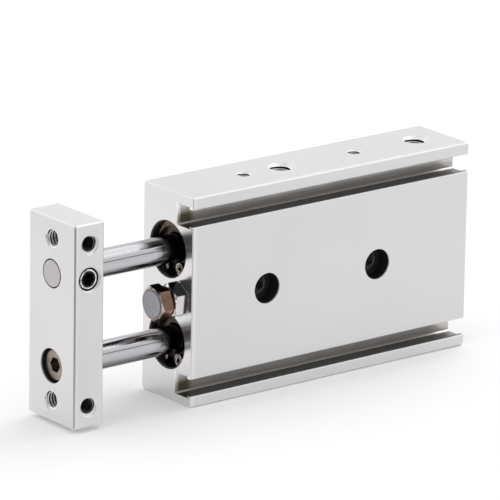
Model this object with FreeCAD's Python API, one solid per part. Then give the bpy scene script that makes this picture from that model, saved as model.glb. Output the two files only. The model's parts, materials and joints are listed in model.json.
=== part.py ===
import FreeCAD, Part
import math
import os

# Twin rod pneumatic cylinder, in millimetres.
# X runs along the rods: the rods leave the housing towards -X. The face with the sensor slots
# looks towards -Y. Z is up, and the housing stands on its lower narrow face at Z = 0.
# The origin is the centre of that face.

Vector = FreeCAD.Vector
ALONG = Vector(1, 0, 0)
ACROSS = Vector(0, 1, 0)
UP = Vector(0, 0, 1)

# Rods and bores
ROD_RADIUS = 3.0
BORE_RADIUS = 5.0
ROD_PITCH = 20.0
STROKE = 20.0
EXTENSION_LEFT = 4.5
STOP_GAP = 0.05

# Clearances
SLIDE_FIT = 0.03
PISTON_FIT = 0.05
SEAL_FIT = 0.02
SEAT_FIT = 0.02
THREAD_FIT = 0.02
BOLT_FIT = 0.05
ROD_PASS = 0.2

# Seats for the covers at both ends of each bore
SEAT_STEP = 1.0
CLIP_SETBACK = 1.2
CLIP_THICKNESS = 1.0
CLIP_PLAY = 0.05
CLIP_GROOVE_DEPTH = 0.3
SEAT_BEVEL = 0.25

# Walls round the bores
FACE_WALL = 2.5
SLOT_TO_SEAT = 0.1
UPPER_CORNER = 0.5
LOWER_CORNER = 1.0
END_BEVEL = 0.2

# Sensor slots in the -Y face
SLOT_EDGE = 2.1
SLOT_WIDTH = 4.8
SLOT_DEPTH = 5.3
SLOT_LIP = 1.2
SLOT_LIP_OVERHANG = 0.5
SLOT_MOUTH_BEVEL = 0.15
SLOT_BACK_BEVEL = 0.3

# Front stack, from the retaining ring inwards
RETAINER_THICKNESS = 1.0
COVER_FLANGE = 4.5
COVER_BODY = 18.2
COVER_NOSE = 3.0
NOSE_STEP = 0.9
ROD_SEAL_LENGTH = 2.5
ROD_SEAL_WALL = 1.4
BUSH_LENGTH = 16.0
BUSH_WALL = 1.0
O_RING_SECTION = 1.1
O_RING_ROOM = 0.3
O_RING_CORNER = 0.3
COVER_REAR_LIP = 0.6

# Pistons
ROD_CUSHION_LENGTH = 2.0
ROD_CUSHION_WALL = 1.4
PISTON_LENGTH = 6.0
PISTON_LAND = 1.5
PISTON_SEAL_LENGTH = 2.0
PISTON_SEAL_WALL = 1.45
MAGNET_LENGTH = 3.5
MAGNET_WALL = 1.7
HOLDER_LENGTH = 4.5
SPIGOT_RADIUS = 2.0
SPIGOT_END_GAP = 0.5
HOLDER_END_WALL = 1.0
REAR_CHAMBER = 3.15

# Rear stack
HEAD_COVER_LENGTH = 3.4
HEAD_COVER_LAND = 1.0
HEAD_CUSHION_RADIUS = 3.5
HEAD_CUSHION_PROUD = 1.1
HEAD_CUSHION_SEAT = 1.2

# Air ports, one pair near each end, and the passage that joins them through both bores
PORT_RADIUS = 2.5
PORT_DEPTH = 4.5
PORT_BEVEL = 0.5
PASSAGE_RADIUS = 1.1
FRONT_PORT_PAST_COVER = 1.0
REAR_PORT_BEFORE_HEAD = 2.3
PLUG_RECESS = 0.3
PLUG_ROOM = 0.2

# Mounting holes of the housing
BODY_HOLE_FROM_FRONT = 20.0
BODY_HOLE_SPACING = 30.0
BODY_HOLE_RADIUS = 2.0
BODY_COUNTERBORE_RADIUS = 3.35
BODY_COUNTERBORE_DEPTH = 3.3
SIDE_HOLE_RADIUS = 1.5
SIDE_HOLE_DEPTH = 4.5
TAP_BEVEL = 0.2

# End plate
PLATE_THICKNESS = 7.5
PLATE_MARGIN_Y = 0.5
PLATE_MARGIN_Z = 1.0
PLATE_BEVEL = 0.3
PLATE_HOLE_RADIUS = 2.0
PLATE_HOLE_FROM_END = 4.5
PLATE_SIDE_HOLE_DEPTH = 4.2
PLATE_ROD_PASS = 0.15
ROD_SEAT_DEPTH = 0.8
ROD_END_BEVEL = 0.15

# Cap screw through the plate into the lower rod
SCREW_RADIUS = 2.0
SCREW_HEAD_RADIUS = 3.5
SCREW_HEAD_HEIGHT = 4.0
SCREW_HEAD_BEVEL = 0.3
SCREW_SOCKET = 3.0
SCREW_SOCKET_DEPTH = 2.2
SCREW_COUNTERBORE_RADIUS = 3.75
SCREW_COUNTERBORE_DEPTH = 5.0
SCREW_LENGTH = 10.0
SCREW_HOLE_SPARE = 1.0
SCREW_PASS = 0.15

# Set screw that clamps the upper rod, and the sockets of set screw and port plugs
SET_SCREW_RADIUS = 2.5
SET_SCREW_RECESS = 0.4
SET_SCREW_MOUTH = 0.35
SET_SCREW_POINT_RADIUS = 1.3
SET_SCREW_BEVEL = 0.4
SET_SCREW_ANGLE = 15.0
GRUB_SOCKET = 2.5
GRUB_SOCKET_DEPTH = 2.0

# Adjustable stop: bolt, lock nut and bumper pad between the rods
STOP_FROM_FACE = 4.95
STOP_RADIUS = 2.0
STOP_HEX = 7.0
STOP_NUT_HEIGHT = 3.2
STOP_NUT_GAP = 0.75
STOP_HEAD_HEIGHT = 2.75
STOP_SHANK_IN_HOUSING = 9.5
STOP_HOLE_SPARE = 2.5
STOP_NUT_ANGLE = 153.0
STOP_HEAD_ANGLE = 128.0
PAD_RADIUS = 2.85
PAD_PROUD = 0.3
PAD_SEAT_DEPTH = 1.0
PAD_PLAY = 0.02

# Retaining ring shape
RING_BODY_WIDTH = 1.15
RING_OFFSET = 0.35
RING_LUG_ANGLE = 32.0
RING_LUG_ROOM = 0.5
RING_EYE_RADIUS = 0.55
RING_GAP_ANGLE = 34.0

# Shapes that standard fasteners and drills have
DRILL_POINT_ANGLE = 59.0
HEX_CHAMFER_ANGLE = 30.0
HEX_FACE_SHARE = 0.95
HEX_CORNER_ROOM = 0.08

# Sizes that follow from the ones above
SEAT_RADIUS = BORE_RADIUS + SEAT_STEP
GROOVE_WIDTH = CLIP_THICKNESS + 2 * CLIP_PLAY
GROOVE_RADIUS = SEAT_RADIUS + CLIP_GROOVE_DEPTH
AXIS_FROM_EDGE = SLOT_EDGE + SLOT_WIDTH + SLOT_TO_SEAT + SEAT_RADIUS
HOUSING_HEIGHT = ROD_PITCH + 2 * AXIS_FROM_EDGE
HOUSING_WIDTH = 2 * (SEAT_RADIUS + FACE_WALL)
LOWER_AXIS = AXIS_FROM_EDGE
UPPER_AXIS = AXIS_FROM_EDGE + ROD_PITCH
MIDDLE = HOUSING_HEIGHT / 2

# Distances from the front face of the housing, positive inwards
RETAINER_AT = CLIP_SETBACK + GROOVE_WIDTH
COVER_AT = RETAINER_AT + RETAINER_THICKNESS
COVER_BODY_AT = COVER_AT + COVER_FLANGE
COVER_NOSE_AT = COVER_BODY_AT + COVER_BODY
COVER_END = COVER_NOSE_AT + COVER_NOSE
PISTON_ASSEMBLY = PISTON_LENGTH + MAGNET_LENGTH + HOLDER_LENGTH
CHAMBER_END = (COVER_END + STOP_GAP + ROD_CUSHION_LENGTH + PISTON_ASSEMBLY + STROKE
               + REAR_CHAMBER + HEAD_CUSHION_PROUD)
HOUSING_LENGTH = CHAMBER_END + HEAD_COVER_LENGTH + GROOVE_WIDTH + CLIP_SETBACK
FRONT = -HOUSING_LENGTH / 2
REAR = HOUSING_LENGTH / 2
FRONT_PORT = FRONT + COVER_END + FRONT_PORT_PAST_COVER
REAR_PORT = FRONT + CHAMBER_END - REAR_PORT_BEFORE_HEAD

# The moving unit in the photographed pose
STOP_REACH = STOP_NUT_HEIGHT + STOP_NUT_GAP + STOP_HEAD_HEIGHT + PAD_PROUD
RETRACT_TRAVEL = STROKE - EXTENSION_LEFT
PLATE_REAR = FRONT - STOP_REACH - STOP_GAP - RETRACT_TRAVEL
PLATE_FRONT = PLATE_REAR - PLATE_THICKNESS
PLATE_MIDDLE = (PLATE_REAR + PLATE_FRONT) / 2
PLATE_HALF_WIDTH = HOUSING_WIDTH / 2 - PLATE_MARGIN_Y
CUSHION_AT = FRONT + COVER_END + STOP_GAP + EXTENSION_LEFT
PISTON_AT = CUSHION_AT + ROD_CUSHION_LENGTH
MAGNET_AT = PISTON_AT + PISTON_LENGTH
HOLDER_AT = MAGNET_AT + MAGNET_LENGTH
HOLDER_END = HOLDER_AT + HOLDER_LENGTH
PISTON_RADIUS = BORE_RADIUS - PISTON_FIT
MAGNET_STUB_RADIUS = PISTON_RADIUS - MAGNET_WALL - PISTON_FIT
STOP_Y = STOP_FROM_FACE - HOUSING_WIDTH / 2


def box(x_span, y_span, z_span):
    """A block between two values on each axis."""
    size = [high - low for low, high in (x_span, y_span, z_span)]
    return Part.makeBox(*size, Vector(x_span[0], y_span[0], z_span[0]))


def prism(points, direction):
    """A straight extrusion of a flat outline."""
    outline = Part.makePolygon(points + points[:1])
    return Part.Face(outline).extrude(direction)


def turned(profile, height, y=0.0):
    """A solid of revolution about an axis along X. The profile lists (x, radius) pairs."""
    points = [Vector(x, y, height + radius) for x, radius in profile]
    outline = Part.makePolygon(points + points[:1])
    return Part.Face(outline).revolve(Vector(0, y, height), ALONG, 360)


def ring(x_span, inner, outer, height, y=0.0):
    """A plain ring or disc about an axis along X."""
    start, end = x_span
    return turned([(start, inner), (end, inner), (end, outer), (start, outer)], height, y)


def drilled(mouth, direction, radius, depth, bevel=0.0):
    """The tool for a blind hole: bevelled mouth, round wall and drill point."""
    tool = Part.makeCylinder(radius, depth, mouth, direction)
    point_height = radius / math.tan(math.radians(DRILL_POINT_ANGLE))
    point = Part.makeCone(radius, 0, point_height, mouth + direction * depth, direction)
    tool = tool.fuse(point)
    if bevel:
        tool = tool.fuse(Part.makeCone(radius + bevel, radius, bevel, mouth, direction))
    return tool


def through_hole(mouth, direction, radius, length, bevel):
    """The tool for a tapped hole from face to face, with both mouths bevelled."""
    tool = Part.makeCylinder(radius, length, mouth, direction)
    far_mouth = mouth + direction * length
    for place, inward in ((mouth, direction), (far_mouth, -direction)):
        tool = tool.fuse(Part.makeCone(radius + bevel, radius, bevel, place, inward))
    return tool


def hexagon(centre, direction, length, across_flats, turn=0.0):
    """A hexagonal bar. turn is the angle of one corner about the bar, from the bar's own side."""
    corner_radius = across_flats / 2 / math.cos(math.pi / 6)
    side = ACROSS if abs(direction.dot(ACROSS)) < 0.5 else ALONG
    third = direction.cross(side)
    points = []
    for corner in range(6):
        angle = math.radians(turn + 60 * corner)
        spoke = side * math.cos(angle) + third * math.sin(angle)
        points.append(centre + spoke * corner_radius)
    return prism(points, direction * length)


def hex_with_chamfers(x_span, y, height, across_flats, turn, chamfer_start, chamfer_end):
    """A hexagon along X whose corners are turned off at the ends that ask for it."""
    start, end = x_span
    bar = hexagon(Vector(start, y, height), ALONG, end - start, across_flats, turn)
    flat_radius = HEX_FACE_SHARE * across_flats / 2
    corner_radius = across_flats / 2 / math.cos(math.pi / 6) + HEX_CORNER_ROOM
    drop = (corner_radius - flat_radius) * math.tan(math.radians(HEX_CHAMFER_ANGLE))
    profile = [(start, 0)]
    if chamfer_start:
        profile += [(start, flat_radius), (start + drop, corner_radius)]
    else:
        profile += [(start, corner_radius)]
    if chamfer_end:
        profile += [(end - drop, corner_radius), (end, flat_radius)]
    else:
        profile += [(end, corner_radius)]
    profile += [(end, 0)]
    return bar.common(turned(profile, height, y))


def sensor_slot(edge_z, inward):
    """The T-shaped slot tool. It is measured from the upper or lower edge of the housing."""
    face = -HOUSING_WIDTH / 2
    near = edge_z + inward * SLOT_EDGE
    far = near + inward * SLOT_WIDTH
    lip_near = near + inward * SLOT_LIP_OVERHANG
    lip_far = far - inward * SLOT_LIP_OVERHANG
    outline = [
        (face, lip_near - inward * SLOT_MOUTH_BEVEL),
        (face + SLOT_MOUTH_BEVEL, lip_near),
        (face + SLOT_LIP, lip_near),
        (face + SLOT_LIP, near),
        (face + SLOT_DEPTH - SLOT_BACK_BEVEL, near),
        (face + SLOT_DEPTH, near + inward * SLOT_BACK_BEVEL),
        (face + SLOT_DEPTH, far - inward * SLOT_BACK_BEVEL),
        (face + SLOT_DEPTH - SLOT_BACK_BEVEL, far),
        (face + SLOT_LIP, far),
        (face + SLOT_LIP, lip_far),
        (face + SLOT_MOUTH_BEVEL, lip_far),
        (face, lip_far + inward * SLOT_MOUTH_BEVEL),
    ]
    points = [Vector(FRONT, y, z) for y, z in outline]
    return prism(points, ALONG * HOUSING_LENGTH)


def bore_tool(height):
    """One cylinder bore with the cover seats and the retaining ring grooves at its two ends."""
    front_groove = FRONT + CLIP_SETBACK
    rear_groove = REAR - CLIP_SETBACK - GROOVE_WIDTH
    return turned([
        (FRONT, 0),
        (FRONT, SEAT_RADIUS + SEAT_BEVEL),
        (FRONT + SEAT_BEVEL, SEAT_RADIUS),
        (front_groove, SEAT_RADIUS),
        (front_groove, GROOVE_RADIUS),
        (front_groove + GROOVE_WIDTH, GROOVE_RADIUS),
        (front_groove + GROOVE_WIDTH, SEAT_RADIUS),
        (FRONT + COVER_BODY_AT, SEAT_RADIUS),
        (FRONT + COVER_BODY_AT, BORE_RADIUS),
        (FRONT + CHAMBER_END, BORE_RADIUS),
        (FRONT + CHAMBER_END, SEAT_RADIUS),
        (rear_groove, SEAT_RADIUS),
        (rear_groove, GROOVE_RADIUS),
        (rear_groove + GROOVE_WIDTH, GROOVE_RADIUS),
        (rear_groove + GROOVE_WIDTH, SEAT_RADIUS),
        (REAR - SEAT_BEVEL, SEAT_RADIUS),
        (REAR, SEAT_RADIUS + SEAT_BEVEL),
        (REAR, 0),
    ], height)


def on_end_plane(edge):
    """True for an edge that lies in the front or the rear face of the housing."""
    span = edge.BoundBox
    flat = span.XLength < 1e-6
    return flat and min(abs(span.XMin - FRONT), abs(span.XMin - REAR)) < 1e-6


def rounded_block():
    """The extrusion before its slots and bores, with rounded long edges and bevelled ends."""
    half = HOUSING_WIDTH / 2
    block = box((FRONT, REAR), (-half, half), (0, HOUSING_HEIGHT))
    for level, radius in ((HOUSING_HEIGHT, UPPER_CORNER), (0, LOWER_CORNER)):
        long_edges = [edge for edge in block.Edges
                      if edge.BoundBox.XLength > HOUSING_LENGTH / 2
                      and abs(edge.BoundBox.ZMax - level) < 1e-6
                      and abs(edge.BoundBox.ZMin - level) < 1e-6]
        block = block.makeFillet(radius, long_edges)
    return block.makeChamfer(END_BEVEL, [edge for edge in block.Edges if on_end_plane(edge)])


def body_hole(x):
    """A mounting hole through the housing with a counterbore at both large faces."""
    half = HOUSING_WIDTH / 2
    tool = Part.makeCylinder(BODY_HOLE_RADIUS, HOUSING_WIDTH, Vector(x, -half, MIDDLE), ACROSS)
    for face, inward in ((-half, ACROSS), (half, -ACROSS)):
        mouth = Vector(x, face, MIDDLE)
        tool = tool.fuse(Part.makeCylinder(BODY_COUNTERBORE_RADIUS, BODY_COUNTERBORE_DEPTH, mouth, inward))
    return tool


def housing():
    """The extruded housing that everything else goes into."""
    body = rounded_block()
    body = body.cut(sensor_slot(HOUSING_HEIGHT, -1))
    body = body.cut(sensor_slot(0, 1))
    body = body.cut(bore_tool(UPPER_AXIS))
    body = body.cut(bore_tool(LOWER_AXIS))
    for number in range(2):
        x = FRONT + BODY_HOLE_FROM_FRONT + number * BODY_HOLE_SPACING
        body = body.cut(body_hole(x))
        for level, inward in ((HOUSING_HEIGHT, -UP), (0, UP)):
            mouth = Vector(x, 0, level)
            body = body.cut(drilled(mouth, inward, SIDE_HOLE_RADIUS, SIDE_HOLE_DEPTH, TAP_BEVEL))
    for x in (FRONT_PORT, REAR_PORT):
        for level, inward in ((HOUSING_HEIGHT, -UP), (0, UP)):
            body = body.cut(drilled(Vector(x, 0, level), inward, PORT_RADIUS, PORT_DEPTH, PORT_BEVEL))
        passage = Part.makeCylinder(
            PASSAGE_RADIUS, HOUSING_HEIGHT - 2 * PORT_DEPTH, Vector(x, 0, PORT_DEPTH), UP)
        body = body.cut(passage)
    stop_hole = drilled(Vector(FRONT, STOP_Y, MIDDLE), ALONG, STOP_RADIUS + BOLT_FIT,
                        STOP_SHANK_IN_HOUSING + STOP_HOLE_SPARE)
    return body.cut(stop_hole)


def o_ring(x_start, height):
    """A ring squeezed between groove and seat, with flats where it presses and bevels between them."""
    inner = SEAT_RADIUS - O_RING_SECTION + SEAT_FIT
    outer = SEAT_RADIUS - SEAT_FIT
    start = x_start + O_RING_ROOM / 2
    end = start + O_RING_SECTION
    return turned([
        (start + O_RING_CORNER, inner),
        (end - O_RING_CORNER, inner),
        (end, inner + O_RING_CORNER),
        (end, outer - O_RING_CORNER),
        (end - O_RING_CORNER, outer),
        (start + O_RING_CORNER, outer),
        (start, outer - O_RING_CORNER),
        (start, inner + O_RING_CORNER),
    ], height)


def rod_cover(height):
    """The front cover that guides the rod and closes the bore."""
    start = FRONT + COVER_AT
    groove_end = FRONT + COVER_BODY_AT - COVER_REAR_LIP
    groove_start = groove_end - O_RING_SECTION - O_RING_ROOM
    bush_start = start + ROD_SEAL_LENGTH
    bush_end = bush_start + BUSH_LENGTH
    end = FRONT + COVER_END
    outer = SEAT_RADIUS - SEAT_FIT
    bush_radius = ROD_RADIUS + SLIDE_FIT + BUSH_WALL
    seal_radius = ROD_RADIUS + SEAL_FIT + ROD_SEAL_WALL
    return turned([
        (start, seal_radius),
        (start, outer),
        (groove_start, outer),
        (groove_start, SEAT_RADIUS - O_RING_SECTION),
        (groove_end, SEAT_RADIUS - O_RING_SECTION),
        (groove_end, outer),
        (FRONT + COVER_BODY_AT, outer),
        (FRONT + COVER_BODY_AT, BORE_RADIUS - SEAT_FIT),
        (FRONT + COVER_NOSE_AT, BORE_RADIUS - SEAT_FIT),
        (FRONT + COVER_NOSE_AT, BORE_RADIUS - NOSE_STEP),
        (end, BORE_RADIUS - NOSE_STEP),
        (end, ROD_RADIUS + ROD_PASS),
        (bush_end, ROD_RADIUS + ROD_PASS),
        (bush_end, bush_radius),
        (bush_start, bush_radius),
        (bush_start, seal_radius),
    ], height)


def slide_bush(height):
    """The plain bearing sleeve in the rod cover."""
    start = FRONT + COVER_AT + ROD_SEAL_LENGTH
    inner = ROD_RADIUS + SLIDE_FIT
    return ring((start, start + BUSH_LENGTH), inner, inner + BUSH_WALL, height)


def rod_seal(height):
    """A lip seal whose open side faces the air pressure."""
    start = FRONT + COVER_AT
    end = start + ROD_SEAL_LENGTH
    inner = ROD_RADIUS + SEAL_FIT
    outer = inner + ROD_SEAL_WALL
    middle = (inner + outer) / 2
    lip = ROD_SEAL_WALL / 4
    return turned([
        (start, inner + lip),
        (start, outer),
        (end, outer),
        (end, outer - lip),
        (start + ROD_SEAL_LENGTH / 2, middle),
        (end, inner + lip),
        (end, inner),
        (end - ROD_SEAL_LENGTH / 3, inner),
    ], height)


def seal_retainer(height):
    """The washer between the rod seal and the retaining ring."""
    start = FRONT + RETAINER_AT
    inner = ROD_RADIUS + 2 * ROD_PASS
    return ring((start, start + RETAINER_THICKNESS), inner, SEAT_RADIUS - 2 * SEAT_FIT, height)


def retaining_ring(x_start, height):
    """A spring ring with two eyes for the pliers, open at the bottom."""
    outer = GROOVE_RADIUS - CLIP_PLAY
    thickness = ALONG * CLIP_THICKNESS
    centre = Vector(x_start + CLIP_PLAY, 0, height)
    body = Part.makeCylinder(outer, CLIP_THICKNESS, centre, ALONG)
    window = Part.makeCylinder(outer - RING_BODY_WIDTH, CLIP_THICKNESS, centre - UP * RING_OFFSET, ALONG)
    body = body.cut(window)
    lug_inner = ROD_RADIUS + RING_LUG_ROOM
    lug_outer = SEAT_RADIUS - CLIP_PLAY
    lug_radius = (lug_outer - lug_inner) / 2
    gap = math.radians(RING_GAP_ANGLE / 2)
    reach = 2 * outer
    wedge = prism([
        centre,
        centre + ACROSS * reach * math.sin(gap) - UP * reach * math.cos(gap),
        centre - ACROSS * reach * math.sin(gap) - UP * reach * math.cos(gap),
    ], thickness)
    body = body.cut(wedge)
    for side in (-1, 1):
        angle = math.radians(RING_LUG_ANGLE) * side
        spoke = ACROSS * math.sin(angle) - UP * math.cos(angle)
        eye = centre + spoke * (lug_inner + lug_radius)
        lug = Part.makeCylinder(lug_radius, CLIP_THICKNESS, eye, ALONG).cut(wedge)
        body = body.fuse(lug)
        body = body.cut(Part.makeCylinder(RING_EYE_RADIUS, CLIP_THICKNESS, eye, ALONG))
    return body.removeSplitter()


def head_cover(height):
    """The disc that closes the rear of a bore."""
    start = FRONT + CHAMBER_END
    end = start + HEAD_COVER_LENGTH
    outer = SEAT_RADIUS - SEAT_FIT
    groove_start = start + HEAD_COVER_LAND
    groove_end = groove_start + O_RING_SECTION + O_RING_ROOM
    floor = SEAT_RADIUS - O_RING_SECTION
    return turned([
        (start, HEAD_CUSHION_RADIUS),
        (start, outer),
        (groove_start, outer),
        (groove_start, floor),
        (groove_end, floor),
        (groove_end, outer),
        (end - SEAT_BEVEL, outer),
        (end, outer - SEAT_BEVEL),
        (end, 0),
        (start + HEAD_CUSHION_SEAT, 0),
        (start + HEAD_CUSHION_SEAT, HEAD_CUSHION_RADIUS),
    ], height)


def head_cushion(height):
    """The soft disc that the piston would meet at the rear."""
    start = FRONT + CHAMBER_END
    return ring((start - HEAD_CUSHION_PROUD, start + HEAD_CUSHION_SEAT), 0, HEAD_CUSHION_RADIUS, height)


def port_plug(x):
    """A threaded plug with a hexagon socket, flush in a lower air port."""
    start = Vector(x, 0, PLUG_RECESS)
    radius = PORT_RADIUS - THREAD_FIT
    length = PORT_DEPTH - PLUG_RECESS - PLUG_ROOM
    plug = Part.makeCylinder(radius - SET_SCREW_BEVEL, length, start, UP)
    middle = start + UP * SET_SCREW_BEVEL
    straight = length - 2 * SET_SCREW_BEVEL
    plug = plug.fuse(Part.makeCylinder(radius, straight, middle, UP))
    plug = plug.fuse(Part.makeCone(radius - SET_SCREW_BEVEL, radius, SET_SCREW_BEVEL, start, UP))
    top = middle + UP * straight
    plug = plug.fuse(Part.makeCone(radius, radius - SET_SCREW_BEVEL, SET_SCREW_BEVEL, top, UP))
    plug = plug.removeSplitter()
    return plug.cut(hexagon(start, UP, GRUB_SOCKET_DEPTH, GRUB_SOCKET))


def piston_rod(start, height, tapped):
    """A hard chromed rod with a spigot for the piston; the lower one is tapped for the cap screw."""
    end = HOLDER_END - HOLDER_END_WALL - SPIGOT_END_GAP
    rod = turned([
        (start, 0),
        (start, ROD_RADIUS - ROD_END_BEVEL),
        (start + ROD_END_BEVEL, ROD_RADIUS),
        (PISTON_AT, ROD_RADIUS),
        (PISTON_AT, SPIGOT_RADIUS),
        (end, SPIGOT_RADIUS),
        (end, 0),
    ], height)
    if tapped:
        depth = SCREW_LENGTH - (start - PLATE_FRONT - SCREW_COUNTERBORE_DEPTH) + SCREW_HOLE_SPARE
        rod = rod.cut(drilled(Vector(start, 0, height), ALONG, SCREW_RADIUS, depth))
    return rod


def rod_cushion(height):
    """The soft ring in front of the piston that lands on the rod cover."""
    inner = ROD_RADIUS
    return ring((CUSHION_AT, PISTON_AT), inner, inner + ROD_CUSHION_WALL, height)


def piston(height):
    """The front half of the piston, with the groove of its seal."""
    groove_start = PISTON_AT + PISTON_LAND
    groove_end = groove_start + PISTON_SEAL_LENGTH
    floor = PISTON_RADIUS - PISTON_SEAL_WALL
    return turned([
        (PISTON_AT, SPIGOT_RADIUS),
        (PISTON_AT, PISTON_RADIUS),
        (groove_start, PISTON_RADIUS),
        (groove_start, floor),
        (groove_end, floor),
        (groove_end, PISTON_RADIUS),
        (MAGNET_AT, PISTON_RADIUS),
        (MAGNET_AT, SPIGOT_RADIUS),
    ], height)


def piston_seal(height):
    """The lip ring between piston and bore."""
    start = PISTON_AT + PISTON_LAND
    end = start + PISTON_SEAL_LENGTH
    inner = PISTON_RADIUS - PISTON_SEAL_WALL
    outer = BORE_RADIUS - SEAL_FIT
    waist = (inner + outer) / 2
    return turned([
        (start, inner),
        (start, outer),
        ((start + end) / 2, waist),
        (end, outer),
        (end, inner),
    ], height)


def magnet(height):
    """The ring magnet that a sensor in the slot reads."""
    return ring((MAGNET_AT, HOLDER_AT), MAGNET_STUB_RADIUS, MAGNET_STUB_RADIUS + MAGNET_WALL, height)


def magnet_holder(height):
    """The rear half of the piston, screwed on the rod behind the magnet."""
    inner_end = HOLDER_END - HOLDER_END_WALL
    return turned([
        (MAGNET_AT, SPIGOT_RADIUS),
        (MAGNET_AT, MAGNET_STUB_RADIUS),
        (HOLDER_AT, MAGNET_STUB_RADIUS),
        (HOLDER_AT, PISTON_RADIUS),
        (HOLDER_END, PISTON_RADIUS),
        (HOLDER_END, 0),
        (inner_end, 0),
        (inner_end, SPIGOT_RADIUS),
    ], height)


def end_plate():
    """The plate that ties the two rods together and carries the load."""
    low = PLATE_MARGIN_Z
    high = HOUSING_HEIGHT - PLATE_MARGIN_Z
    plate = box((PLATE_FRONT, PLATE_REAR), (-PLATE_HALF_WIDTH, PLATE_HALF_WIDTH), (low, high))
    plate = plate.makeChamfer(PLATE_BEVEL, plate.Edges)
    upper_hole = Part.makeCylinder(ROD_RADIUS + PLATE_ROD_PASS, PLATE_THICKNESS,
                                   Vector(PLATE_FRONT, 0, UPPER_AXIS), ALONG)
    plate = plate.cut(upper_hole)
    plate = plate.cut(Part.makeCylinder(SCREW_COUNTERBORE_RADIUS, SCREW_COUNTERBORE_DEPTH,
                                        Vector(PLATE_FRONT, 0, LOWER_AXIS), ALONG))
    plate = plate.cut(Part.makeCylinder(SCREW_RADIUS + SCREW_PASS, PLATE_THICKNESS,
                                        Vector(PLATE_FRONT, 0, LOWER_AXIS), ALONG))
    plate = plate.cut(Part.makeCylinder(ROD_RADIUS + SEAT_FIT, ROD_SEAT_DEPTH,
                                        Vector(PLATE_REAR, 0, LOWER_AXIS), -ALONG))
    set_screw_hole = Part.makeCylinder(SET_SCREW_RADIUS, PLATE_HALF_WIDTH,
                                       Vector(PLATE_MIDDLE, -PLATE_HALF_WIDTH, UPPER_AXIS), ACROSS)
    plate = plate.cut(set_screw_hole)
    plate = plate.cut(Part.makeCone(SET_SCREW_RADIUS + SET_SCREW_MOUTH, SET_SCREW_RADIUS, SET_SCREW_MOUTH,
                                    Vector(PLATE_MIDDLE, -PLATE_HALF_WIDTH, UPPER_AXIS), ACROSS))
    for z in (low + PLATE_HOLE_FROM_END, high - PLATE_HOLE_FROM_END):
        plate = plate.cut(through_hole(Vector(PLATE_FRONT, 0, z), ALONG, PLATE_HOLE_RADIUS,
                                       PLATE_THICKNESS, TAP_BEVEL))
        for side in (-1, 1):
            mouth = Vector(PLATE_MIDDLE, side * PLATE_HALF_WIDTH, z)
            inward = ACROSS * -side
            plate = plate.cut(drilled(mouth, inward, PLATE_HOLE_RADIUS, PLATE_SIDE_HOLE_DEPTH, TAP_BEVEL))
    return plate


def plate_cap_screw():
    """The socket head cap screw that holds the plate on the lower rod."""
    seat = PLATE_FRONT + SCREW_COUNTERBORE_DEPTH
    top = seat - SCREW_HEAD_HEIGHT
    shank = SCREW_RADIUS - THREAD_FIT
    screw = turned([
        (top, 0),
        (top, SCREW_HEAD_RADIUS - SCREW_HEAD_BEVEL),
        (top + SCREW_HEAD_BEVEL, SCREW_HEAD_RADIUS),
        (seat, SCREW_HEAD_RADIUS),
        (seat, shank),
        (seat + SCREW_LENGTH - SCREW_HEAD_BEVEL, shank),
        (seat + SCREW_LENGTH, shank - SCREW_HEAD_BEVEL),
        (seat + SCREW_LENGTH, 0),
    ], LOWER_AXIS)
    return screw.cut(hexagon(Vector(top, 0, LOWER_AXIS), ALONG, SCREW_SOCKET_DEPTH, SCREW_SOCKET))


def plate_set_screw():
    """The grub screw in the side of the plate whose point presses on the upper rod."""
    mouth = Vector(PLATE_MIDDLE, -PLATE_HALF_WIDTH + SET_SCREW_RECESS, UPPER_AXIS)
    length = PLATE_HALF_WIDTH - SET_SCREW_RECESS - ROD_RADIUS
    radius = SET_SCREW_RADIUS - THREAD_FIT
    point = radius - SET_SCREW_POINT_RADIUS
    screw = Part.makeCone(radius - SET_SCREW_BEVEL, radius, SET_SCREW_BEVEL, mouth, ACROSS)
    straight = length - SET_SCREW_BEVEL - point
    screw = screw.fuse(Part.makeCylinder(radius, straight, mouth + ACROSS * SET_SCREW_BEVEL, ACROSS))
    screw = screw.fuse(Part.makeCone(radius, SET_SCREW_POINT_RADIUS, point,
                                     mouth + ACROSS * (length - point), ACROSS))
    return screw.cut(hexagon(mouth, ACROSS, GRUB_SOCKET_DEPTH, GRUB_SOCKET, SET_SCREW_ANGLE))


def stop_lock_nut():
    """The nut that locks the stop bolt against the housing."""
    span = (FRONT - STOP_NUT_HEIGHT, FRONT)
    nut = hex_with_chamfers(span, STOP_Y, MIDDLE, STOP_HEX, STOP_NUT_ANGLE, True, True)
    return nut.cut(ring(span, 0, STOP_RADIUS + BOLT_FIT, MIDDLE, STOP_Y))


def stop_bolt():
    """The hexagon bolt that sets where the plate stops; its head holds the bumper pad."""
    head_end = FRONT - STOP_NUT_HEIGHT - STOP_NUT_GAP
    head_start = head_end - STOP_HEAD_HEIGHT
    head = hex_with_chamfers((head_start, head_end), STOP_Y, MIDDLE, STOP_HEX, STOP_HEAD_ANGLE, True, False)
    tip = FRONT + STOP_SHANK_IN_HOUSING
    shank = turned([
        (head_end, 0),
        (head_end, STOP_RADIUS),
        (tip - SCREW_HEAD_BEVEL, STOP_RADIUS),
        (tip, STOP_RADIUS - SCREW_HEAD_BEVEL),
        (tip, 0),
    ], MIDDLE, STOP_Y)
    seat = ring((head_start, head_start + PAD_SEAT_DEPTH), 0, PAD_RADIUS + BOLT_FIT, MIDDLE, STOP_Y)
    return head.fuse(shank).removeSplitter().cut(seat)


def bumper_pad():
    """The urethane disc in the head of the stop bolt."""
    face = FRONT - STOP_REACH
    floor = face + PAD_PROUD + PAD_SEAT_DEPTH - PAD_PLAY
    edge = PAD_PROUD / 2
    return turned([
        (face, 0),
        (face, PAD_RADIUS - edge),
        (face + edge, PAD_RADIUS),
        (floor, PAD_RADIUS),
        (floor, 0),
    ], MIDDLE, STOP_Y)


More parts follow.
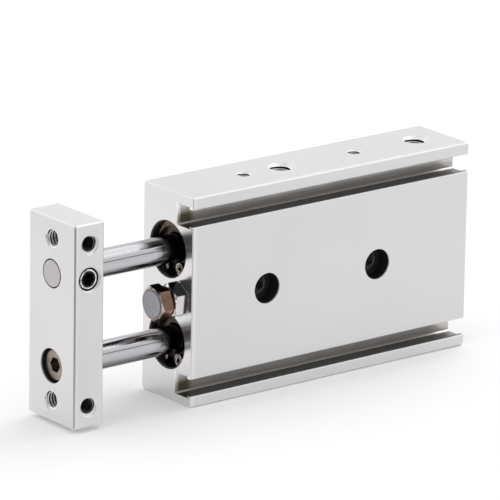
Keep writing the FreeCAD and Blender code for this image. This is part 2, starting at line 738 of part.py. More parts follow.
def cylinder_set(level, height, rod_start, tapped):
    """All the pieces of one of the two cylinders, named by its level."""
    cover_groove = FRONT + COVER_BODY_AT - COVER_REAR_LIP - O_RING_SECTION - O_RING_ROOM
    head_groove = FRONT + CHAMBER_END + HEAD_COVER_LAND
    return {
        "rod_cover_" + level: rod_cover(height),
        "slide_bush_" + level: slide_bush(height),
        "rod_seal_" + level: rod_seal(height),
        "seal_retainer_" + level: seal_retainer(height),
        "cover_o_ring_" + level: o_ring(cover_groove, height),
        "front_retaining_ring_" + level: retaining_ring(FRONT + CLIP_SETBACK, height),
        "head_cover_" + level: head_cover(height),
        "head_o_ring_" + level: o_ring(head_groove, height),
        "head_cushion_" + level: head_cushion(height),
        "rear_retaining_ring_" + level: retaining_ring(REAR - CLIP_SETBACK - GROOVE_WIDTH, height),
        "piston_rod_" + level: piston_rod(rod_start, height, tapped),
        "rod_cushion_" + level: rod_cushion(height),
        "piston_" + level: piston(height),
        "piston_seal_" + level: piston_seal(height),
        "magnet_" + level: magnet(height),
        "magnet_holder_" + level: magnet_holder(height),
    }


def all_pieces():
    """Every node of the part by name."""
    pieces = {"housing": housing()}
    pieces.update(cylinder_set("upper", UPPER_AXIS, PLATE_FRONT, False))
    pieces.update(cylinder_set("lower", LOWER_AXIS, PLATE_REAR - ROD_SEAT_DEPTH, True))
    pieces["port_plug_front"] = port_plug(FRONT_PORT)
    pieces["port_plug_rear"] = port_plug(REAR_PORT)
    pieces["end_plate"] = end_plate()
    pieces["plate_cap_screw"] = plate_cap_screw()
    pieces["plate_set_screw"] = plate_set_screw()
    pieces["stop_lock_nut"] = stop_lock_nut()
    pieces["stop_bolt"] = stop_bolt()
    pieces["bumper_pad"] = bumper_pad()
    return pieces


os.makedirs("parts", exist_ok=True)
for name, shape in all_pieces().items():
    shape.exportStep(os.path.join("parts", name + ".step"))
    print(name, "solids", len(shape.Solids), "volume", round(shape.Volume, 3), "valid", shape.isValid())
print("housing", round(HOUSING_LENGTH, 3), "x", HOUSING_WIDTH, "x", HOUSING_HEIGHT)
print("travel from rest", -round(RETRACT_TRAVEL, 3), "to", EXTENSION_LEFT)
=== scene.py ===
# %% [markdown]
# Twin rod air cylinder: two chromed rods slide out of an anodised aluminium housing and carry one
# end plate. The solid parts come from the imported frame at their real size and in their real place.
# This file gives them their finish, adds the screw threads that the solids leave out, and sets up
# the camera and the light. Everything is in metres, in the frame's own axes: the rods run along X,
# the slotted face looks towards -Y, and Z is up.

# %% Load the frame
import json
import math

import bmesh
import bpy
from mathutils import Matrix, Vector


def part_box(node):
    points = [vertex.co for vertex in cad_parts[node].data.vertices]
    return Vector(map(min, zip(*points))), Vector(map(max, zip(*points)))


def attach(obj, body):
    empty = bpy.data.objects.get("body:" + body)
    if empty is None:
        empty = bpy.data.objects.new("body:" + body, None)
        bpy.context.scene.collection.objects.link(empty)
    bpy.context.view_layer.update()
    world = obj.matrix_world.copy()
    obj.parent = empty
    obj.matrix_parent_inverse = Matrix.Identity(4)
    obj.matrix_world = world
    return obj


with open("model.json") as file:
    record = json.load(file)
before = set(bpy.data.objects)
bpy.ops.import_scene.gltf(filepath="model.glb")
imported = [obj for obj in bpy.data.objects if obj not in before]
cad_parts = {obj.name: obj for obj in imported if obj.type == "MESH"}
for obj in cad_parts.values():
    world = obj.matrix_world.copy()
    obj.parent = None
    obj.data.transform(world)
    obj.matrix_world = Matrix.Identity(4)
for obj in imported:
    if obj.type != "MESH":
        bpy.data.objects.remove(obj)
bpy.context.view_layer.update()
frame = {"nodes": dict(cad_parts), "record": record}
nodes = frame["nodes"]
record = frame["record"]

# %% [markdown]
# A few places are needed again and again, such as the faces of the housing and the axes of the rods.
# They could be typed in, but then they would drift away from the solids. Each one is read from the
# box of the piece that it belongs to, so that a change in the solids carries over by itself.

# %% Read the main places from the frame
MM = 0.001
housing_low, housing_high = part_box("housing")
plate_low, plate_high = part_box("end_plate")
lower_cover_low, lower_cover_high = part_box("rod_cover_lower")

front_face = housing_low.x
slot_face = housing_low.y
housing_top = housing_high.z
housing_middle = (housing_low + housing_high) / 2
plate_middle = (plate_low + plate_high) / 2
lower_axis = (lower_cover_low.z + lower_cover_high.z) / 2
upper_axis = 2 * housing_middle.z - lower_axis
print("axes at", round(lower_axis, 5), "and", round(upper_axis, 5))

# %% [markdown]
# The camera stands where the photographer's did. Its direction is given by two angles round the
# object and a small roll. Its matrix is built from three directions: one that points back from the
# object to the camera, one to the right and one up. A long lens far away keeps the edges nearly
# parallel, which is how small products are usually photographed.

# %% Place the camera
CAMERA_TARGET = Vector((-15.547, 0.0, 28.954)) * MM
CAMERA_AZIMUTH = math.radians(-38.4688)
CAMERA_ELEVATION = math.radians(16.9048)
CAMERA_ROLL = math.radians(0.99358)
CAMERA_DISTANCE = 1164.07 * MM
SENSOR_WIDTH = 36.0
LENS = 395.79
NEAREST_SEEN = 0.01
FARTHEST_SEEN = 20.0


def camera_matrix():
    """The camera's place and direction, from its angles round the target."""
    back = Vector((
        math.sin(CAMERA_AZIMUTH) * math.cos(CAMERA_ELEVATION),
        -math.cos(CAMERA_AZIMUTH) * math.cos(CAMERA_ELEVATION),
        math.sin(CAMERA_ELEVATION),
    ))
    level_right = Vector((0, 0, 1)).cross(back).normalized()
    level_up = back.cross(level_right)
    right = level_right * math.cos(CAMERA_ROLL) + level_up * math.sin(CAMERA_ROLL)
    up = level_up * math.cos(CAMERA_ROLL) - level_right * math.sin(CAMERA_ROLL)
    turned = Matrix((right, up, back)).transposed().to_4x4()
    return Matrix.Translation(CAMERA_TARGET + back * CAMERA_DISTANCE) @ turned


camera_data = bpy.data.cameras.new("camera")
camera_data.sensor_width = SENSOR_WIDTH
camera_data.lens = LENS
camera_data.clip_start = NEAREST_SEEN
camera_data.clip_end = FARTHEST_SEEN
camera = bpy.data.objects.new("camera", camera_data)
bpy.context.scene.collection.objects.link(camera)
camera.matrix_world = camera_matrix()
bpy.context.scene.camera = camera
print("camera at", [round(value, 3) for value in camera.location])

# %% [markdown]
# Materials are built from nodes. This small class makes a new material and adds nodes to it, so that
# each finish below reads as a list of what it is made of. An input that is given a number keeps the
# number, and one that is given another node's output is linked to it. All patterns use Object
# coordinates, in metres, so that they lie still on a piece while it moves. A finish that is done is
# filed under its name, for the solids to find.

# %% Helpers for materials
NOISE_CORE = (0.3, 0.7)
finishes = {}


def colour(red, green, blue):
    """A colour with its alpha, as the sockets want it."""
    return (red, green, blue, 1.0)


class Nodes:
    """A new material with its node tree and its main shader."""

    def __init__(self, name, base, metallic, roughness):
        self.name = name
        self.material = bpy.data.materials.new(name)
        self.material.use_nodes = True
        self.tree = self.material.node_tree
        self.shader = self.tree.nodes["Principled BSDF"]
        self.shader.inputs["Base Color"].default_value = base
        self.shader.inputs["Metallic"].default_value = metallic
        self.shader.inputs["Roughness"].default_value = roughness
        where = self.add("ShaderNodeTexCoord")
        self.place = where.outputs["Object"]
        self.xyz = self.add("ShaderNodeSeparateXYZ", self.place).outputs
        self.facing = self.add("ShaderNodeSeparateXYZ", where.outputs["Normal"]).outputs

    def add(self, kind, *values, **settings):
        """Adds a node, with its settings and its first inputs as values or links."""
        node = self.tree.nodes.new(kind)
        for key, value in settings.items():
            setattr(node, key, value)
        for socket, value in zip(node.inputs, values):
            self.join(value, socket)
        return node

    def join(self, value, socket):
        """Links an output to a socket, or writes a plain value into it."""
        if isinstance(value, bpy.types.NodeSocket):
            self.tree.links.new(value, socket)
        elif value is not None:
            socket.default_value = value

    def set(self, name, value):
        """Gives one of the shader's inputs a value or a link."""
        self.join(value, self.shader.inputs[name])

    def math(self, operation, first, second=None):
        """One step of arithmetic on numbers or outputs."""
        return self.add("ShaderNodeMath", first, second, operation=operation).outputs[0]

    def both(self, first, second):
        """The product of two shares: high only where both are."""
        return self.math("MULTIPLY", first, second)

    def spread(self, value, start, end, low=0.0, high=1.0):
        """Maps value from the range start to end onto low to high, and stays inside it."""
        return self.add("ShaderNodeMapRange", value, start, end, low, high).outputs[0]

    def mix(self, share, first, second):
        """The first colour where share is 0, the second where it is 1."""
        node = self.add("ShaderNodeMix", data_type="RGBA")
        self.join(share, node.inputs[0])
        self.join(first, node.inputs[6])
        self.join(second, node.inputs[7])
        return node.outputs[2]

    def blend(self, share, first, second):
        """The first number where share is 0, the second where it is 1."""
        return self.add("ShaderNodeMix", share, None, first, second).outputs[0]

    def noise(self, size, stretch=(1, 1, 1), detail=2.0):
        """Noise from 0 to 1 whose blobs are about as large as size, in metres."""
        mapped = self.add("ShaderNodeMapping", self.place)
        mapped.inputs["Scale"].default_value = [side / size for side in stretch]
        noise = self.add("ShaderNodeTexNoise", mapped.outputs[0])
        noise.inputs["Scale"].default_value = 1.0
        noise.inputs["Detail"].default_value = detail
        return noise.outputs["Fac"]

    def uneven(self, noise, low, high):
        """Lets the roughness follow a noise, from low to high."""
        self.set("Roughness", self.spread(noise, *NOISE_CORE, low, high))

    def bump(self, height, depth):
        """Raises the surface by height times depth, in metres, in the shading only."""
        node = self.add("ShaderNodeBump")
        node.inputs["Distance"].default_value = depth
        self.join(height, node.inputs["Height"])
        self.set("Normal", node.outputs[0])

    def done(self):
        """Files the material under its name, and prints how many nodes it took."""
        finishes[self.name] = self.material
        print(self.name, "with", len(self.tree.nodes), "nodes")
        return self.material


print("material helpers ready")

# %% [markdown]
# A finish also has to know where a point lies and which way the surface faces there. Masks could be
# painted by hand, but what is worked out from coordinates stays right when a size changes, and needs
# no picture. Each helper gives a share from 0 to 1 or a length in millimetres for a finish to mix by.

# %% Helpers that tell where a point lies
class Finish(Nodes):
    """A material that can tell where each point lies and which way it faces."""

    def inside(self, low, high):
        """1 inside a box and 0 outside it. None leaves a side of the box open."""
        share = 1.0
        for axis in range(3):
            if low[axis] is not None:
                share = self.both(self.math("GREATER_THAN", self.xyz[axis], low[axis]), share)
            if high[axis] is not None:
                share = self.both(self.math("LESS_THAN", self.xyz[axis], high[axis]), share)
        return share

    def depth(self, low, high):
        """How far a point lies below the nearest side of a block, in millimetres."""
        nearest = None
        for axis in range(3):
            centred = self.math("SUBTRACT", self.xyz[axis], (low[axis] + high[axis]) / 2)
            half = (high[axis] - low[axis]) / 2
            inset = self.math("SUBTRACT", half, self.math("ABSOLUTE", centred))
            nearest = inset if nearest is None else self.math("MINIMUM", nearest, inset)
        return self.math("DIVIDE", nearest, MM)

    def between(self, value, low, high):
        """1 where a value lies between low and high, and 0 elsewhere."""
        return self.both(self.math("GREATER_THAN", value, low), self.math("LESS_THAN", value, high))

    def leaning(self, axis, low, high):
        """1 where the surface's lean along an axis, from -1 to 1, lies between low and high."""
        return self.between(self.facing[axis], low, high)

    def slanted(self, axis, low, high):
        """The same for a lean either way, from 0 to 1."""
        return self.between(self.math("ABSOLUTE", self.facing[axis]), low, high)

    def behind(self, plane):
        """How far a point lies behind a plane across the rods, in millimetres."""
        return self.math("DIVIDE", self.math("SUBTRACT", self.xyz[0], plane), MM)

    def radius(self, axis, centre):
        """The distance in millimetres from a line through centre along one axis."""
        square = 0.0
        for other in range(3):
            if other != axis:
                offset = self.math("SUBTRACT", self.xyz[other], centre[other])
                square = self.math("ADD", self.both(offset, offset), square)
        return self.math("DIVIDE", self.math("SQRT", square), MM)


print("place helpers ready")

# %% [markdown]
# The housing and the plate are clear anodised. Their skin is pale, even and satin, with broad faint
# clouds and a fine blasted grain. Light is painted on the bevels: they are painted lighter than the
# skin as highlights, brightest on the bevels across the ends and on a strip by the front edge of the
# faces that look towards -Y. The walls of holes are painted nearly black just below the mouth, as
# painted shade. One number tells skin and wall apart: how far a point lies below the
# nearest side of its block. It is zero on the skin and grows inside every hole, so one rule finishes
# them all. A second number, how far the surface leans along an axis, tells flat faces from bevels.

# %% Anodised skin, bevels and hole walls
NOISE_SPLIT = (0.35, 0.65)
BEVEL_LEAN = (0.3, 0.95)
MOUTH_LEAN = (0.25, 0.93)
# Painted highlights on the bevels and edges.
BEVEL_HIGHLIGHT = colour(0.84, 0.83, 0.835)
EDGE_HIGHLIGHT = colour(0.94, 0.93, 0.935)
EDGE_WIDTH = 1.3
EDGE_SHARE = 0.75
SLOT_SIDE_LEAN = (-2.0, -0.6)
# Painted shade on the walls of holes.
HOLE_SHADE = colour(0.035, 0.031, 0.028)
HOLE_FADE = (0.22, 0.4)
CLOUD_SIZE = 18 * MM
GRAIN_SIZE = 0.16 * MM
GRAIN_HEIGHT = 0.003 * MM
MOUTH_DEPTH = 0.52
SKIN_METALLIC = 0.5
SKIN_ROUGHNESS = (0.40, 0.52)
PLAIN_ROUGHNESS = 0.45


def anodised(name, low, high, pale, cloudy):
    """Satin aluminium: pale skin, painted highlights on bevels and painted shade on hole walls inside
    the block low to high.
    """
    finish = Finish(name, pale, SKIN_METALLIC, PLAIN_ROUGHNESS)
    clouds = finish.spread(finish.noise(CLOUD_SIZE, detail=1.0), *NOISE_SPLIT)
    skin = finish.mix(clouds, pale, cloudy)
    # Painted highlights: bevels lighter than the skin, brighter still across the ends and on a strip by
    # the front edge.
    skin = finish.mix(finish.slanted(2, *MOUTH_LEAN), skin, BEVEL_HIGHLIGHT)
    across_end = finish.both(finish.slanted(0, *BEVEL_LEAN), finish.slanted(2, *BEVEL_LEAN))
    skin = finish.mix(across_end, skin, EDGE_HIGHLIGHT)
    near_edge = finish.spread(finish.behind(low[0]), 0.0, EDGE_WIDTH, EDGE_SHARE, 0.0)
    beside = finish.both(near_edge, finish.leaning(1, *SLOT_SIDE_LEAN))
    skin = finish.mix(beside, skin, EDGE_HIGHLIGHT)
    # Painted shade: the walls of holes go nearly black below the mouth.
    finish.below = finish.depth(low, high)
    finish.base = finish.mix(finish.spread(finish.below, *HOLE_FADE), skin, HOLE_SHADE)
    grain = finish.noise(GRAIN_SIZE)
    finish.grain = finish.spread(grain, *NOISE_CORE, *SKIN_ROUGHNESS)
    finish.bump(grain, GRAIN_HEIGHT)
    return finish


def mouth_highlights(finish, base, low, high, axis):
    """Paints a highlight on the bevelled mouths of the holes that run along an axis inside a box."""
    mouths = finish.both(finish.inside(low, high), finish.slanted(axis, *MOUTH_LEAN))
    mouths = finish.both(mouths, finish.math("LESS_THAN", finish.below, MOUTH_DEPTH))
    return finish.mix(mouths, base, EDGE_HIGHLIGHT)


print("hole walls darken between", HOLE_FADE, "mm below the skin")

# %% [markdown]
# The plate has little more to it than that. A fine darker line is painted down its sharp upright
# corners as shade, and the bevelled mouths of the holes in its sides get a painted highlight.

# %% Finish of the end plate
PLATE_SKIN = colour(0.800, 0.786, 0.789)
PLATE_CLOUD = colour(0.785, 0.773, 0.777)
# Painted shade: a fine dark line down the upright corners.
CORNER_SHADE_LINE = colour(0.47, 0.46, 0.46)
CORNER_LEAN = (0.4, 0.95)
CORNER_DEPTH = 0.32
UPRIGHT_LEAN = (-1.0, 0.1)
PLATE_FACE_ROOM = 1 * MM


def plate_finish():
    """The anodised plate, with a painted shade line down its upright corners."""
    finish = anodised("plate_anodised", plate_low, plate_high, PLATE_SKIN, PLATE_CLOUD)
    upright = finish.slanted(2, *UPRIGHT_LEAN)
    on_skin = finish.math("LESS_THAN", finish.below, CORNER_DEPTH)
    # Painted shade line down the upright corners.
    line = finish.both(finish.both(finish.slanted(0, *CORNER_LEAN), upright), on_skin)
    base = finish.mix(line, finish.base, CORNER_SHADE_LINE)
    holes_low = (plate_low.x + PLATE_FACE_ROOM, None, None)
    holes_high = (plate_high.x - PLATE_FACE_ROOM, None, None)
    # Painted highlight on the bevelled mouths of the side holes.
    finish.set("Base Color", mouth_highlights(finish, base, holes_low, holes_high, 1))
    finish.set("Roughness", finish.grain)
    finish.done()


plate_finish()

# %% [markdown]
# The housing is an extrusion. Its two ends are milled after it is cut to length, so they are smoother
# than the long sides and mirror the rods and the nut a little. Light and shade are painted in the
# sensor slots: the back walls are painted lighter at the top and darker towards the bottom, with
# streaks along the length, a painted highlight runs along the slots' bevels, and the floors are
# painted nearly black as shade and paler towards the rear end as painted light. A little way in from
# the front end the back wall turns a darker olive, most of all low down. The slots are found by the
# openings that the record states for the sensors, and the bores by their distance from the rods'
# axes. The bevels round the bores are painted dark as shade, because the rods mirror a bright one as
# a pale ring, and the walls of the bores are painted nearly black as shade.

# %% Finish of the housing
SKIN = colour(0.755, 0.742, 0.745)
SKIN_CLOUD = colour(0.740, 0.728, 0.732)
FLAT_LEAN = (0.95, 2.0)
END_METALLIC = 0.96
END_ROUGHNESS = 0.19
END_DEPTH = 0.02
RECESS_MOUTH = 6.4
# Painted shade on the bevels round the bores.
RECESS_BEVEL_SHADE = colour(0.1, 0.095, 0.09)
# Painted light and shade in the slots: lighter tops and darker bottoms of the back walls, a highlight
# on the bevels, and a nearly black floor that is paler towards the rear.
SLOT_WALL_PAINTED_LIGHT = colour(1.0, 0.98, 0.96)
SLOT_WALL_PAINTED_SHADE = colour(0.48, 0.455, 0.43)
SLOT_EDGE_HIGHLIGHT = colour(1.0, 0.98, 0.95)
SLOT_FLOOR_SHADE = colour(0.022, 0.019, 0.017)
SLOT_FLOOR_REAR_LIGHT = colour(0.48, 0.47, 0.455)
SLOT_LEVEL_LEAN = (0.9, 2.0)
SLOT_EDGE_LEAN = (0.3, 0.9)
# A darker olive patch, low on the back wall a little way in from the front end.
SLOT_OLIVE_PATCH = colour(0.15, 0.145, 0.085)
PATCH_START = (0.56, 0.84)
PATCH_END = (3.04, 4.56)
PATCH_RISE = (0.4, 0.95)
PATCH_ABOVE = 0.1
STREAK_SIZE = 0.25 * MM
STREAK_STRETCH = (0.03, 1, 1)
STREAK_SHARE = 0.8
WALL_LIGHTNESS = (0.5, 1.3)
REAR_START = 0.82
SLOT_LIP = 0.4 * MM
SLOT_ROOM = 0.35 * MM
BORE_RADIUS = 6.06
BORE_START = 0.28
MOUTH_ROOM = 4 * MM
SLOT_ROUGHNESS = 0.24


def slot_colour(finish, low, high):
    """The colours inside one slot, with painted light and shade, by which way the surface faces and
    where it lies.
    """
    streaks = finish.noise(STREAK_SIZE, stretch=STREAK_STRETCH, detail=3.0)
    from_front = finish.behind(front_face)
    rise = finish.spread(finish.xyz[2], low[2] - SLOT_ROOM, high[2] + SLOT_ROOM)
    # Painted light and shade: the back wall is lighter at the top and darker towards the bottom.
    lightness = finish.math("ADD", rise, finish.both(streaks, STREAK_SHARE))
    wall = finish.mix(finish.spread(lightness, *WALL_LIGHTNESS), SLOT_WALL_PAINTED_SHADE, SLOT_WALL_PAINTED_LIGHT)
    # A darker olive patch near the front end, strongest low on the wall.
    patch_start = finish.spread(from_front, *PATCH_START)
    patch_end = finish.spread(from_front, *PATCH_END, 1.0, 0.0)
    patch_low = finish.spread(rise, *PATCH_RISE, 1.0, PATCH_ABOVE)
    olive_patch = finish.both(finish.both(patch_start, patch_end), patch_low)
    wall = finish.mix(olive_patch, wall, SLOT_OLIVE_PATCH)
    # Painted shade on the floor, with painted light towards the rear end.
    to_rear = finish.spread(finish.xyz[0], REAR_START * housing_high.x, housing_high.x)
    floor = finish.mix(finish.both(to_rear, to_rear), SLOT_FLOOR_SHADE, SLOT_FLOOR_REAR_LIGHT)
    slot = finish.mix(finish.slanted(2, *SLOT_LEVEL_LEAN), wall, floor)
    # Painted highlight on the slot's bevels.
    return finish.mix(finish.slanted(2, *SLOT_EDGE_LEAN), slot, SLOT_EDGE_HIGHLIGHT)


def housing_finish():
    """The anodised housing, with milled ends, and painted light and shade in its slots and bores."""
    finish = anodised("housing_anodised", housing_low, housing_high, SKIN, SKIN_CLOUD)
    holes_low = (housing_low.x + MOUTH_ROOM, -MOUTH_ROOM, None)
    holes_high = (housing_high.x - MOUTH_ROOM, MOUTH_ROOM, None)
    # Painted highlight on the bevelled mouths of the holes in the top and bottom.
    base = mouth_highlights(finish, finish.base, holes_low, holes_high, 2)
    roughness = finish.grain
    for opening in record["physics"]["openings"]:
        low, high = opening["box_m"]
        room_low = (None, slot_face + SLOT_LIP, low[2] - SLOT_ROOM)
        room_high = (None, high[1] + SLOT_ROOM, high[2] + SLOT_ROOM)
        in_slot = finish.inside(room_low, room_high)
        base = finish.mix(in_slot, base, slot_colour(finish, low, high))
        roughness = finish.blend(in_slot, roughness, SLOT_ROUGHNESS)
    past_bevel = finish.math("GREATER_THAN", finish.below, BORE_START)
    for height in (lower_axis, upper_axis):
        # Painted shade on the bevels round the bores and on the walls of the bores.
        out = finish.radius(0, (0, 0, height))
        near_bore = finish.math("LESS_THAN", out, RECESS_MOUTH)
        bevel = finish.both(near_bore, finish.slanted(0, *BEVEL_LEAN))
        base = finish.mix(bevel, base, RECESS_BEVEL_SHADE)
        in_bore = finish.math("LESS_THAN", out, BORE_RADIUS)
        base = finish.mix(finish.both(in_bore, past_bevel), base, HOLE_SHADE)
    finish.set("Base Color", base)
    on_skin = finish.math("LESS_THAN", finish.below, END_DEPTH)
    on_end = finish.both(finish.slanted(0, *FLAT_LEAN), on_skin)
    finish.set("Metallic", finish.blend(on_end, SKIN_METALLIC, END_METALLIC))
    finish.set("Roughness", finish.blend(on_end, roughness, END_ROUGHNESS))
    finish.done()


housing_finish()

# %% [markdown]
# The rods are hard chromed and ground between wheels. Chrome is almost a mirror, and grinding
# leaves hair-thin rings round the rod. The rings are noise that is squeezed along the rod's axis
# only, so that it forms fine hoops. They blur the mirror along the rod and leave it sharp across,
# which is why a ground rod shows clean long lines but no clear picture of what it faces. The
# underside is painted dark as shade, and the bevel at the rod's end carries a painted dark
# reflection.

# %% Hard chrome
CHROME = colour(0.505, 0.497, 0.52)
# Painted dark reflection on the rod's end bevel, and painted shade on the underside.
ROD_BEVEL_DARK_REFLECTION = colour(0.08, 0.075, 0.07)
ROD_END = colour(0.52, 0.49, 0.49)
CHROME_UNDERSIDE_SHADE = colour(0.06, 0.06, 0.065)
UNDERSIDE = (-0.15, -0.75)
RING_SIZE = 0.12 * MM
RING_STRETCH = (1, 0.05, 0.05)
RING_HEIGHT = 0.016 * MM
CHROME_ROUGHNESS = (0.05, 0.1)
PLAIN_CHROME_ROUGHNESS = 0.08
ROD_END_ROUGHNESS = 0.3


def chrome():
    """Ground hard chrome with fine rings round the rod."""
    finish = Finish("rod_chrome", CHROME, 1.0, PLAIN_CHROME_ROUGHNESS)
    rings = finish.noise(RING_SIZE, stretch=RING_STRETCH, detail=3.0)
    # Painted shade on the underside, and a painted dark reflection on the end bevel.
    plated = finish.mix(finish.spread(finish.facing[2], *UNDERSIDE), CHROME, CHROME_UNDERSIDE_SHADE)
    plated = finish.mix(finish.slanted(0, *BEVEL_LEAN), plated, ROD_BEVEL_DARK_REFLECTION)
    flat_end = finish.slanted(0, *FLAT_LEAN)
    finish.set("Base Color", finish.mix(flat_end, plated, ROD_END))
    ground = finish.spread(rings, *NOISE_CORE, *CHROME_ROUGHNESS)
    finish.set("Roughness", finish.blend(flat_end, ground, ROD_END_ROUGHNESS))
    finish.bump(rings, RING_HEIGHT)
    finish.done()


chrome()

# %% [markdown]
# The small steel parts differ in colour and sheen: a bright zinc coat on the lock nut, a brown tint
# on the head of the stop bolt and a brown-grey phosphate on the cap screw. One function makes these
# coats, and those of the plugs, the seal retainers and the magnets. They are blotchy in both colour
# and roughness, because plated and blackened steel is never quite even. The faces that slant from
# the axis can be given a lighter colour of their own, partly wear on hexagon corners and bevels and
# partly a painted highlight, and upper faces can be painted darker, as painted shade.

# %% Coats on steel
# Leans for the lighter slanting faces, wear and painted highlight, and for the painted shade on upper
# faces.
SLANT_RIM_LEAN = (0.2, 0.97)
END_LEAN = (0.97, 2.0)
UPPER_SHADE_LEAN = (0.5, 2.0)
BLOTCH_SIZE = 1.2 * MM
COAT_UNEVENNESS = (0.8, 1.25)
COAT_GRAIN = 0.1 * MM
COAT_GRAIN_HEIGHT = 0.001 * MM


def shares_of(value, shares):
    """A value times each of a few shares."""
    return [value * share for share in shares]


def coated_metal(name, light, dark, roughness, wear_and_highlight=None, flat=None, upper_shade=None, axis=0):
    """Metal with an uneven thin coat. Bevels may be lighter, as wear and painted highlight, flat ends
    may differ in colour, and upper faces may be painted darker as shade.
    """
    finish = Finish(name, colour(*light), 1.0, roughness)
    blotches = finish.noise(BLOTCH_SIZE, detail=3.0)
    coat = finish.mix(finish.spread(blotches, *NOISE_SPLIT), colour(*light), colour(*dark))
    if upper_shade is not None:
        # Painted shade on upper faces.
        coat = finish.mix(finish.leaning(2, *UPPER_SHADE_LEAN), coat, colour(*upper_shade))
    if wear_and_highlight is not None:
        # Lighter slanting faces: wear and painted highlight.
        coat = finish.mix(finish.slanted(axis, *SLANT_RIM_LEAN), coat, colour(*wear_and_highlight))
    if flat is not None:
        coat = finish.mix(finish.slanted(axis, *END_LEAN), coat, colour(*flat))
    finish.set("Base Color", coat)
    finish.uneven(blotches, *shares_of(roughness, COAT_UNEVENNESS))
    finish.bump(finish.noise(COAT_GRAIN), COAT_GRAIN_HEIGHT)
    finish.done()


coated_metal(
    "cap_screw_steel", light=(0.37, 0.315, 0.265), dark=(0.28, 0.235, 0.20), roughness=0.36,
    wear_and_highlight=(0.5, 0.45, 0.40))
coated_metal(
    "port_plug_steel", light=(0.45, 0.44, 0.43), dark=(0.33, 0.32, 0.31), roughness=0.3,
    wear_and_highlight=(0.6, 0.59, 0.58), axis=2)
coated_metal(
    "lock_nut_steel", light=(0.69, 0.655, 0.65), dark=(0.61, 0.58, 0.575), roughness=0.14,
    wear_and_highlight=(0.92, 0.90, 0.89), upper_shade=(0.36, 0.34, 0.32))
coated_metal(
    "stop_bolt_steel", light=(0.52, 0.33, 0.24), dark=(0.44, 0.275, 0.20), roughness=0.14,
    wear_and_highlight=(0.52, 0.45, 0.41), flat=(0.24, 0.19, 0.18), upper_shade=(0.12, 0.10, 0.09))
coated_metal(
    "retainer_steel", light=(0.10, 0.08, 0.07), dark=(0.05, 0.04, 0.035), roughness=0.3)
coated_metal(
    "magnet_black", light=(0.06, 0.06, 0.06), dark=(0.03, 0.03, 0.03), roughness=0.5)

# %% [markdown]
# Two small parts get painted highlights in places that a lean can't find. The set screw is
# blackened, and a painted highlight rings the rim of its cup. The retaining rings are oiled spring
# steel, and painted highlights lie round the edges of their lugs and eyes. Such a place is found by
# its distance from a line, and a noise breaks the ring up.

# %% Set screw and retaining rings
# Painted highlight on rims.
RIM_HIGHLIGHT = colour(0.80, 0.79, 0.78)
BLACK_OXIDE = colour(0.022, 0.021, 0.022)
CUP_INNER = (1.72, 1.84)
CUP_OUTER = (2.1, 2.22, 1.0, 0.0)
CUP_PATCH_SIZE = 1.1 * MM
CUP_PATCHES = (0.35, 0.6, 0.25, 1.0)
OXIDE_GRAIN = 0.4 * MM
OXIDE_ROUGHNESS = (0.16, 0.28)
PLAIN_OXIDE_ROUGHNESS = 0.22
SPRING_STEEL = colour(0.15, 0.115, 0.095)
SPRING_STEEL_DARK = colour(0.05, 0.04, 0.033)
SPRING_BLOTCH = 0.6 * MM
SPRING_ROUGHNESS = (0.12, 0.2)
PLAIN_SPRING_ROUGHNESS = 0.16
HIGHLIGHT_BREAK_SIZE = 1.3 * MM
HIGHLIGHT_BREAK_SHARE = (0.42, 0.6)
EYE_ANGLE = math.radians(32)
EYE_DISTANCE = 4.72 * MM
EYE_RIM = (0.5, 0.68)
LUG_RIM = (1.1, 1.24)


def set_screw_finish():
    """Black oxide with a painted highlight ring round the cup's edge."""
    finish = Finish("grub_screw_steel", BLACK_OXIDE, 1.0, PLAIN_OXIDE_ROUGHNESS)
    out = finish.radius(1, (plate_middle.x, 0, upper_axis))
    # Painted highlight: a broken bright ring at the cup's rim.
    ring = finish.both(finish.spread(out, *CUP_INNER), finish.spread(out, *CUP_OUTER))
    patches = finish.spread(finish.noise(CUP_PATCH_SIZE), *CUP_PATCHES)
    finish.set("Base Color", finish.mix(finish.both(ring, patches), BLACK_OXIDE, RIM_HIGHLIGHT))
    finish.uneven(finish.noise(OXIDE_GRAIN), *OXIDE_ROUGHNESS)
    finish.done()


def spring_ring_finish():
    """Oiled spring steel, with painted highlights round the lugs and their eyes."""
    finish = Finish("spring_ring_steel", SPRING_STEEL, 1.0, PLAIN_SPRING_ROUGHNESS)
    blotches = finish.spread(finish.noise(SPRING_BLOTCH, detail=3.0), *NOISE_SPLIT)
    coat = finish.mix(blotches, SPRING_STEEL, SPRING_STEEL_DARK)
    highlight_breaks = finish.spread(finish.noise(HIGHLIGHT_BREAK_SIZE), *HIGHLIGHT_BREAK_SHARE)
    for height in (lower_axis, upper_axis):
        for side in (-1, 1):
            across = side * EYE_DISTANCE * math.sin(EYE_ANGLE)
            out = finish.radius(0, (0, across, height - EYE_DISTANCE * math.cos(EYE_ANGLE)))
            # Painted highlights round the eyes and lugs.
            for highlight_rim in (EYE_RIM, LUG_RIM):
                bright = finish.both(finish.between(out, *highlight_rim), highlight_breaks)
                coat = finish.mix(bright, coat, RIM_HIGHLIGHT)
    finish.set("Base Color", coat)
    finish.uneven(blotches, *SPRING_ROUGHNESS)
    finish.done()


set_screw_finish()
spring_ring_finish()

# %% [markdown]
# The rod covers, the pistons and the bushes are turned on a lathe, which leaves fine grooves round
# their axis. The covers sit deep in the recesses, and their dark tint is painted shade. The bumper
# pad, the cushions and the seals are soft and not metal at all, with a faint bloom on their skin and,
# on the pad, a rim that is painted paler as a highlight.

